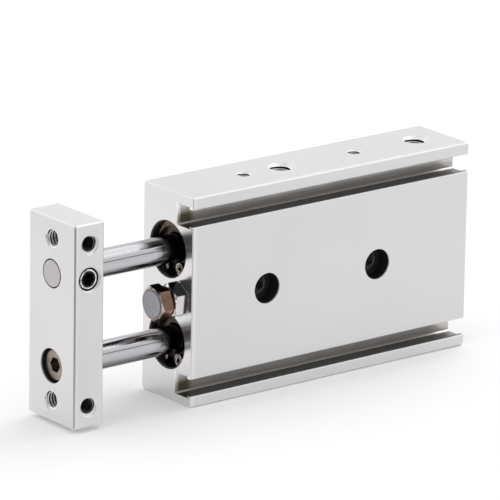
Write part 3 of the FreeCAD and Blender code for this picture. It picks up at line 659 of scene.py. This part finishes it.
# %% Turned pieces and soft pieces
TURNED_PITCH = 0.12 * MM
TURNED_STRETCH = (1, 0.04, 0.04)
TURNED_DARKER = 0.85
TURNED_UNEVENNESS = (0.8, 1.2)
TURNED_HEIGHT = 0.002 * MM
BLOOM_SIZE = 1.5 * MM
BLOOM_PALER = 1.15
RUBBER_UNEVENNESS = (0.9, 1.1)
RUBBER_GRAIN = 0.25 * MM
RUBBER_GRAIN_HEIGHT = 0.002 * MM


def turned_metal(name, tint, roughness):
    """Lathe-turned metal: fine grooves that follow the axis along X."""
    finish = Finish(name, colour(*tint), 1.0, roughness)
    rings = finish.noise(TURNED_PITCH, stretch=TURNED_STRETCH)
    darker = [part * TURNED_DARKER for part in tint]
    finish.set("Base Color", finish.mix(rings, colour(*tint), colour(*darker)))
    finish.uneven(rings, *shares_of(roughness, TURNED_UNEVENNESS))
    finish.bump(rings, TURNED_HEIGHT)
    finish.done()


def rubber(name, tint, roughness, highlight_rim=None):
    """Moulded rubber or urethane, with a faint bloom. Its rim may be painted paler as a highlight."""
    finish = Finish(name, colour(*tint), 0.0, roughness)
    bloom = finish.noise(BLOOM_SIZE, detail=3.0)
    paler = [part * BLOOM_PALER for part in tint]
    skin = finish.mix(bloom, colour(*tint), colour(*paler))
    if highlight_rim is not None:
        # Painted highlight on the rim.
        skin = finish.mix(finish.slanted(0, *SLANT_RIM_LEAN), skin, colour(*highlight_rim))
    finish.set("Base Color", skin)
    finish.uneven(bloom, *shares_of(roughness, RUBBER_UNEVENNESS))
    finish.bump(finish.noise(RUBBER_GRAIN), RUBBER_GRAIN_HEIGHT)
    finish.done()


# The covers' dark tint is painted shade, as they sit deep in the recesses.
turned_metal("cover_aluminium", tint=(0.20, 0.19, 0.18), roughness=0.3)
turned_metal("piston_aluminium", tint=(0.60, 0.60, 0.60), roughness=0.3)
turned_metal("bush_bronze", tint=(0.60, 0.42, 0.20), roughness=0.3)
# The pad's paler rim is a painted highlight.
rubber("pad_urethane", tint=(0.35, 0.34, 0.385), roughness=0.38, highlight_rim=(0.42, 0.41, 0.46))
rubber("cushion_urethane", tint=(0.45, 0.28, 0.10), roughness=0.4)
rubber("seal_rubber", tint=(0.02, 0.02, 0.02), roughness=0.5)
print("finishes:", len(finishes))

# %% [markdown]
# Each solid already names the finish it takes in the frame's record. The record is the one place
# where that is written, so the finishes are handed out from it.

# %% Give every solid its finish
for entry in record["subparts"]:
    mesh = nodes[entry["node"]].data
    mesh.materials.clear()
    mesh.materials.append(finishes[entry["material_slot"]])
print("dressed", len(record["subparts"]), "nodes")

# %% [markdown]
# The solids have smooth holes of the threads' outer size. A real tapped hole shows a helical ridge,
# and on the plate it can be counted through the mouth. The ridge could be a bump in the material, but
# then the mouth would stay a perfect circle. Here it is a mesh: one zigzag line down the hole's wall
# is spun once round the axis, and every step also moves it down by a share of one pitch, so that the
# end of the turn meets its start one thread further. Cutting both ends flat and closing the back
# makes it a solid sleeve that fills the gap between the hole's wall and the thread's crests.

# %% Shape of a metric thread
THREAD_STEPS = 48
THREAD_ROOM = 0.006 * MM
THREAD_HEIGHT = 0.541
ROOT_FLAT = 0.125
FLANK = 0.3125
CREST_FLAT = 0.25
SPARE_TURNS = 2
CUT_TOLERANCE = 1e-8
COARSE_PITCH = {3: 0.5 * MM, 4: 0.7 * MM, 5: 0.8 * MM}


def thread_line(outer, inner, pitch, length):
    """The zigzag section of an internal thread as (height, radius), with turns to spare."""
    line = []
    for turn in range(-SPARE_TURNS, math.ceil(length / pitch) + 1):
        start = turn * pitch
        line.append((start, outer))
        line.append((start + ROOT_FLAT * pitch, outer))
        line.append((start + (ROOT_FLAT + FLANK) * pitch, inner))
        line.append((start + (ROOT_FLAT + FLANK + CREST_FLAT) * pitch, inner))
    return line


def trim(mesh, height, keep_above):
    """Cuts the mesh at a height and keeps one side."""
    bmesh.ops.bisect_plane(
        mesh, geom=mesh.verts[:] + mesh.edges[:] + mesh.faces[:], dist=CUT_TOLERANCE,
        plane_co=(0, 0, height), plane_no=(0, 0, 1), clear_inner=keep_above, clear_outer=not keep_above)


def from_axis(place):
    """How far a point lies from the thread's axis."""
    return math.hypot(place.x, place.y)


def move_out(vertex, radius):
    """Moves a point straight out, or in, to a radius."""
    scale = radius / from_axis(vertex.co)
    vertex.co.x *= scale
    vertex.co.y *= scale


def close_back(mesh, back_radius):
    """Widens both open ends to the back wall and joins them there."""
    rims = [edge for edge in mesh.edges if edge.is_boundary]
    made = bmesh.ops.extrude_edge_only(mesh, edges=rims)["geom"]
    for vertex in (item for item in made if isinstance(item, bmesh.types.BMVert)):
        move_out(vertex, back_radius)
    bmesh.ops.bridge_loops(mesh, edges=[item for item in made if isinstance(item, bmesh.types.BMEdge)])


def mark(mesh, name, value_at):
    """Stores one number for every point, for a material to read."""
    layer = mesh.verts.layers.float.new(name)
    for vertex in mesh.verts:
        vertex[layer] = value_at(vertex.co)


print("pitches", COARSE_PITCH)

# %% [markdown]
# Each point of a thread stores two numbers: how shaded it is, which grows with its depth, and how far
# it stands out of the thread's root. A pattern in space couldn't follow the helix, and these can. The
# finish reads both: the crests and flanks near the mouth are bright cut metal, and the roots and the
# depth of the hole stay dark.

# %% Finish of the threads
CUT_METAL = colour(0.95, 0.95, 0.95)
ROOT_SHADE = colour(0.018, 0.017, 0.016)
DEEP_CREST = colour(0.045, 0.043, 0.04)
CUT_METALLIC = 0.4
CREST_FADE = (1.4, 2.3)
PROUD_FADE = (0.5, 0.85)
TAP_MARKS = 0.15 * MM
PLAIN_TAPPED_ROUGHNESS = 0.3
TAPPED_ROUGHNESS = (0.18, 0.32)


def tapped_finish():
    """Cut aluminium that is dark in the roots and down the hole."""
    finish = Finish("tapped_wall", CUT_METAL, CUT_METALLIC, PLAIN_TAPPED_ROUGHNESS)
    shade = finish.add("ShaderNodeAttribute", attribute_name="shade").outputs["Fac"]
    proud = finish.add("ShaderNodeAttribute", attribute_name="proud").outputs["Fac"]
    crest = finish.mix(finish.spread(shade, *CREST_FADE), CUT_METAL, DEEP_CREST)
    finish.set("Base Color", finish.mix(finish.spread(proud, *PROUD_FADE), ROOT_SHADE, crest))
    finish.uneven(finish.noise(TAP_MARKS), *TAPPED_ROUGHNESS)
    return finish.done()


tapped = tapped_finish()

# %% [markdown]
# The first turn of a tapped hole fades in along a short cone. The cone could be cut with a boolean,
# but it is enough to push every point that lies inside the cone out to it. The rim of the mouth
# counts as standing proud, so it stays bright all the way round, and deep holes start out more
# shaded than shallow ones. The sleeve is made upright at the origin, where its sizes are easy to
# read, and its points are turned and moved into the hole at the end.

# %% Make one threaded sleeve
MOUTH_SLOPE = 2.5
MOUTH_SHINE = 0.15 * MM
MOUTH_PROUD = 1.4
MERGE_SHARE = 500


def new_object(name, mesh, material):
    """Turns a finished bmesh into an object in the scene, and frees it."""
    data = bpy.data.meshes.new(name)
    mesh.to_mesh(data)
    mesh.free()
    data.materials.append(material)
    thing = bpy.data.objects.new(name, data)
    bpy.context.scene.collection.objects.link(thing)
    return thing


def thread_sleeve(name, size, mouth, inward, length, shade, body):
    """A metric thread that lines a hole from its mouth inwards."""
    pitch = COARSE_PITCH[size]
    wall = size / 2 * MM - THREAD_ROOM
    root = wall - THREAD_ROOM
    crest = size / 2 * MM - THREAD_HEIGHT * pitch
    mesh = bmesh.new()
    line = thread_line(root, crest, pitch, length)
    points = [mesh.verts.new((radius, 0, height)) for height, radius in line]
    edges = [mesh.edges.new(pair) for pair in zip(points, points[1:])]
    bmesh.ops.subdivide_edges(mesh, edges=edges, cuts=1)
    bmesh.ops.spin(
        mesh, geom=mesh.verts[:] + mesh.edges[:], cent=(0, 0, 0), axis=(0, 0, 1),
        dvec=(0, 0, pitch / THREAD_STEPS), angle=2 * math.pi, steps=THREAD_STEPS,
        use_merge=False, use_duplicate=False)
    bmesh.ops.remove_doubles(mesh, verts=mesh.verts[:], dist=pitch / MERGE_SHARE)
    trim(mesh, 0.0, keep_above=True)
    trim(mesh, length, keep_above=False)
    for vertex in mesh.verts:
        cone = root - vertex.co.z * MOUTH_SLOPE
        if from_axis(vertex.co) < cone:
            move_out(vertex, cone)
    close_back(mesh, wall)
    bmesh.ops.recalc_face_normals(mesh, faces=mesh.faces[:])
    mark(mesh, "shade", lambda place: shade + place.z / MM)
    height = wall - crest
    mark(mesh, "proud", lambda place: max(
        (wall - from_axis(place)) / height, MOUTH_PROUD - place.z / MOUTH_SHINE))
    turn = inward.to_track_quat("Z", "Y").to_matrix().to_4x4()
    bmesh.ops.transform(mesh, matrix=Matrix.Translation(mouth) @ turn, verts=mesh.verts[:])
    piece = new_object(name, mesh, tapped)
    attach(piece, body)
    return piece


print("sleeves turn in", THREAD_STEPS, "steps")

# %% [markdown]
# The plate has two tapped holes through its front and two in each side, near its upper and lower
# ends. Their places follow from the plate's own box and one distance from its ends.

# %% Line the holes of the plate
PLATE_THREAD = 4
MOUTH_BEVEL = 0.2 * MM
OPEN_SHADE = -1.2
SIDE_SHADE = 1.4
PLATE_HOLE_FROM_END = 4.5 * MM
PLATE_SIDE_HOLE_DEPTH = 4.2 * MM
THREAD_END_ROOM = 0.05 * MM
sleeves = []


def line_plate_holes():
    """Two holes through the front of the plate and two in each of its sides."""
    through = plate_high.x - plate_low.x - 2 * MOUTH_BEVEL
    along = Vector((1, 0, 0))
    heights = {"lower": plate_low.z + PLATE_HOLE_FROM_END, "upper": plate_high.z - PLATE_HOLE_FROM_END}
    sides = {
        "slot_side": (plate_low.y, Vector((0, 1, 0))),
        "back_side": (plate_high.y, Vector((0, -1, 0))),
    }
    side_length = PLATE_SIDE_HOLE_DEPTH - MOUTH_BEVEL - THREAD_END_ROOM
    for level, height in heights.items():
        mouth = Vector((plate_low.x + MOUTH_BEVEL, 0, height))
        sleeves.append(thread_sleeve(
            "thread_plate_front_" + level, PLATE_THREAD, mouth, along, through, OPEN_SHADE,
            "rod_unit"))
        for side, (face, inward) in sides.items():
            mouth = Vector((plate_middle.x, face, height)) + inward * MOUTH_BEVEL
            sleeves.append(thread_sleeve(
                "thread_plate_%s_%s" % (side, level), PLATE_THREAD, mouth, inward,
                side_length, SIDE_SHADE, "rod_unit"))


line_plate_holes()
print("threads in the plate:", len(sleeves))

# %% [markdown]
# The housing has two mounting holes whose thread lies between two counterbores, a small tapped hole
# above and below each of them, and the air ports. The ports' places come from the record's mounts.

# %% Line the holes of the housing
BODY_THREAD = 4
SIDE_THREAD = 3
PORT_THREAD = 5
BODY_HOLE_FROM_FRONT = 20 * MM
BODY_HOLE_SPACING = 30 * MM
COUNTERBORE_DEPTH = 3.3 * MM
SIDE_HOLE_DEPTH = 4.5 * MM
PORT_BEVEL = 0.5 * MM
PORT_DEPTH = 4.5 * MM
BODY_HOLE_SHADE = 3.3
SMALL_HOLE_SHADE = 1.2
PORT_SHADE = 1.0


def line_housing_holes():
    """The two mounting holes, four side holes and the two open air ports."""
    body, slot_name = "cylinder_body", "housing_anodised"
    across = Vector((0, 1, 0))
    up = Vector((0, 0, 1))
    between = housing_high.y - housing_low.y - 2 * COUNTERBORE_DEPTH - 2 * THREAD_END_ROOM
    side_length = SIDE_HOLE_DEPTH - MOUTH_BEVEL - THREAD_END_ROOM
    port_length = PORT_DEPTH - PORT_BEVEL - THREAD_END_ROOM
    for number in (1, 2):
        x = front_face + BODY_HOLE_FROM_FRONT + (number - 1) * BODY_HOLE_SPACING
        mouth = Vector((x, slot_face + COUNTERBORE_DEPTH + THREAD_END_ROOM, housing_middle.z))
        sleeves.append(thread_sleeve(
            "thread_body_hole_%d" % number, BODY_THREAD, mouth, across, between,
            BODY_HOLE_SHADE, body))
        for level, height, inward in (("upper", housing_top, -up), ("lower", housing_low.z, up)):
            mouth = Vector((x, 0, height)) + inward * MOUTH_BEVEL
            sleeves.append(thread_sleeve(
                "thread_side_hole_%s_%d" % (level, number), SIDE_THREAD, mouth, inward,
                side_length, SMALL_HOLE_SHADE, body))
    for mount in record["mounts"]:
        if mount["kind"] == "threaded_hole":
            mouth = Vector((mount["pos_m"][0], mount["pos_m"][1], housing_top - PORT_BEVEL))
            sleeves.append(thread_sleeve(
                "thread_" + mount["name"], PORT_THREAD, mouth, -up,
                port_length, PORT_SHADE, body))


line_housing_holes()
print("threads in all:", len(sleeves), "faces", sum(len(piece.data.polygons) for piece in sleeves))

# %% [markdown]
# The light is that of a small white tent: an even world, one soft lamp above and to the right, and
# a weaker one from the left for the end faces. The camera and all mirrors see the world as plain
# white. That is done with the light path's ray kinds, so that the background needs no extra light on
# the object.

# %% Light the scene
WHITE = (1.0, 1.0, 1.0, 1.0)
WORLD_LIGHT = 0.88


def seen_or_mirrored(tree):
    """1 for rays from the camera, from mirrors and through glass, and 0 for the rest."""
    path = tree.nodes.new("ShaderNodeLightPath")
    total = path.outputs["Is Camera Ray"]
    for kind in ("Is Glossy Ray", "Is Transmission Ray"):
        larger = tree.nodes.new("ShaderNodeMath")
        larger.operation = "MAXIMUM"
        tree.links.new(total, larger.inputs[0])
        tree.links.new(path.outputs[kind], larger.inputs[1])
        total = larger.outputs[0]
    return total


def make_world():
    """An even pale world, pure white where the camera or a mirror sees it."""
    world = bpy.data.worlds.new("tent")
    bpy.context.scene.world = world
    world.use_nodes = True
    tree = world.node_tree
    background = tree.nodes["Background"]
    background.inputs["Color"].default_value = WHITE
    strength = tree.nodes.new("ShaderNodeMapRange")
    tree.links.new(seen_or_mirrored(tree), strength.inputs["Value"])
    strength.inputs["To Min"].default_value = WORLD_LIGHT
    strength.inputs["To Max"].default_value = 1.0
    tree.links.new(strength.outputs[0], background.inputs["Strength"])


def soft_lamp(name, direction, distance, size, radiance):
    """A square lamp that faces the middle of the part, given by the brightness of its face."""
    lamp = bpy.data.lights.new(name, "AREA")
    lamp.shape = "SQUARE"
    lamp.size = size
    lamp.energy = radiance * math.pi * size * size
    holder = bpy.data.objects.new(name, lamp)
    bpy.context.scene.collection.objects.link(holder)
    offset = Vector(direction).normalized() * distance
    holder.location = housing_middle + offset
    holder.rotation_mode = "QUATERNION"
    holder.rotation_quaternion = (-offset).to_track_quat("-Z", "Y")
    holder.visible_glossy = False


make_world()
soft_lamp("lamp_above", direction=(0.55, 0.15, 0.82), distance=0.6, size=0.42, radiance=1.75)
soft_lamp("lamp_left", direction=(-0.75, -0.15, 0.6), distance=0.6, size=0.25, radiance=1.5)
print("world and lamps ready")

# %% [markdown]
# Chrome in a plain white tent looks like grey paint, because it has nothing to mirror. Photographers
# set cards round the object for that. Four are used here, each made by spinning a line round the
# part: a narrow dark ring low round the scene, which draws a thin dark line along shiny edges, a
# dark room and a dark mat on the camera's side, where a photographer would stand, and a bright card
# above and behind, for the white band along the rods. Only mirrors see them: they throw no light or
# shadow and don't show in the picture.

# %% Make the cards
FULL_TURN = 360
CARD_RADIUS = 0.6
CARD_STEP = math.radians(5)
MAT_START = 0.066
FLOOR_CLEARANCE = 0.2 * MM


def stage_shader(name, base):
    """A new material without gloss, which can glow white, and its main shader."""
    material = bpy.data.materials.new(name)
    material.use_nodes = True
    shader = material.node_tree.nodes["Principled BSDF"]
    shader.inputs["Base Color"].default_value = base
    shader.inputs["Specular IOR Level"].default_value = 0.0
    shader.inputs["Emission Color"].default_value = WHITE
    return material, shader


def stage_object(name, mesh, material):
    """Puts a mesh in the scene with its material."""
    thing = new_object(name, mesh, material)
    return thing


def arc(low, high):
    """Points as (distance, height) on an upright arc between two angles above the part."""
    count = max(2, round(math.radians(high - low) / CARD_STEP) + 1)
    angles = [math.radians(low + (high - low) * step / (count - 1)) for step in range(count)]
    return [(CARD_RADIUS * math.cos(angle), CARD_RADIUS * math.sin(angle)) for angle in angles]


def card(name, left, right, points, brightness):
    """A line of points spun round the part between two directions in degrees."""
    mesh = bmesh.new()
    turn = Matrix.Rotation(math.radians(left), 3, "Z")
    line = [mesh.verts.new(turn @ Vector((distance, 0, height)) + housing_middle)
            for distance, height in points]
    edges = [mesh.edges.new(pair) for pair in zip(line, line[1:])]
    spread = math.radians(right - left)
    bmesh.ops.spin(mesh, geom=line + edges, cent=housing_middle, axis=(0, 0, 1), angle=spread,
                   steps=round(spread / CARD_STEP), use_merge=right - left == FULL_TURN,
                   use_duplicate=False)
    material, shader = stage_shader(name, colour(0, 0, 0))
    shader.inputs["Emission Strength"].default_value = brightness
    thing = stage_object(name, mesh, material)
    thing.visible_camera = False
    thing.visible_diffuse = False
    thing.visible_shadow = False


mat_height = FLOOR_CLEARANCE - housing_middle.z
mat_line = [(MAT_START, mat_height), (CARD_RADIUS, mat_height)]
card("dark_ring", left=0, right=FULL_TURN, points=arc(15, 20), brightness=0.1)
card("dark_room", left=150, right=262, points=arc(0, 68), brightness=0.05)
card("dark_mat", left=195, right=250, points=mat_line, brightness=0.05)
card("bright_card", left=-45, right=45, points=arc(37, 62), brightness=1.6)
print("cards ready")

# %% [markdown]
# The part stands on a pale floor. It could be a large plane that only catches shadows, but then
# polished metal would have nothing below it to mirror. A real floor with a faint glow, which only
# the camera and mirrors see, comes out white and keeps the part's soft shadow.

# %% Make the floor
FLOOR_HALF = 3.0
FLOOR_DROP = 0.02 * MM
FLOOR_COLOUR = colour(0.80, 0.80, 0.80)
FLOOR_GLOW = 0.17


def make_floor():
    """A large pale floor just under the part, which takes its shadow."""
    mesh = bmesh.new()
    bmesh.ops.create_grid(mesh, x_segments=1, y_segments=1, size=FLOOR_HALF)
    bmesh.ops.translate(mesh, vec=(0, 0, -FLOOR_DROP), verts=mesh.verts[:])
    material, shader = stage_shader("floor_white", FLOOR_COLOUR)
    shader.inputs["Roughness"].default_value = 1.0
    tree = material.node_tree
    glow = tree.nodes.new("ShaderNodeMath")
    glow.operation = "MULTIPLY"
    tree.links.new(seen_or_mirrored(tree), glow.inputs[0])
    glow.inputs[1].default_value = FLOOR_GLOW
    tree.links.new(glow.outputs[0], shader.inputs["Emission Strength"])
    stage_object("floor", mesh, material)


make_floor()
bpy.context.scene.view_settings.view_transform = "Standard"
print("stage ready")
